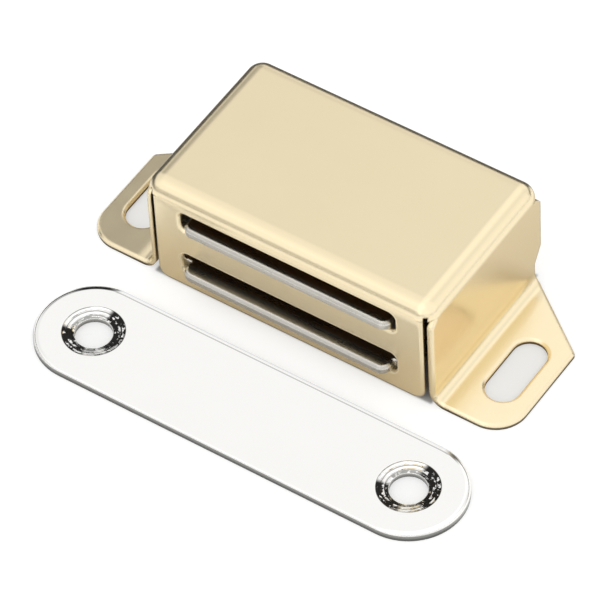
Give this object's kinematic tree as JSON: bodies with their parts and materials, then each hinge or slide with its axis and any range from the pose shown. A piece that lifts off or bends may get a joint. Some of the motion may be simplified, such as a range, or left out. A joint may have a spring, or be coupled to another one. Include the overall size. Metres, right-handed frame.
{
  "type": "magnetic catch",
  "caption": "Folded brass-plated case with slotted screw ears, a floating magnet between steel pole plates showing through front slots, and a round-ended countersunk strike plate.",
  "frame": {"origin": "on the face that the catch is screwed to, midway between its two screw slots", "axes": "+X along the catch, +Y towards its back, +Z away from the face it is screwed to"},
  "size_m": [0.0594, 0.0423, 0.0158],
  "materials": {
    "plated_case": "satin",
    "pole_steel": "satin",
    "ferrite": "matte",
    "bright_plate": "polished"
  },
  "bodies": {
    "catch_case": {"case": "plated_case", "strike_plate": "bright_plate"},
    "magnet_block": {"magnet": "ferrite"},
    "upper_plate": {"upper_pole_plate": "pole_steel"},
    "lower_plate": {"lower_pole_plate": "pole_steel"}
  },
  "joints": [
    {"name": "pack_float", "type": "slide", "parent": "catch_case", "child": "magnet_block", "axis": [0, 0, 1], "range_m": [0, 0.0016]},
    {"name": "upper_plate_slide", "type": "slide", "parent": "magnet_block", "child": "upper_plate", "axis": [0, -1, 0], "range_m": [-0.0003, 0.0007]},
    {"name": "lower_plate_slide", "type": "slide", "parent": "magnet_block", "child": "lower_plate", "axis": [0, -1, 0], "range_m": [-0.001, 0]}
  ]
}
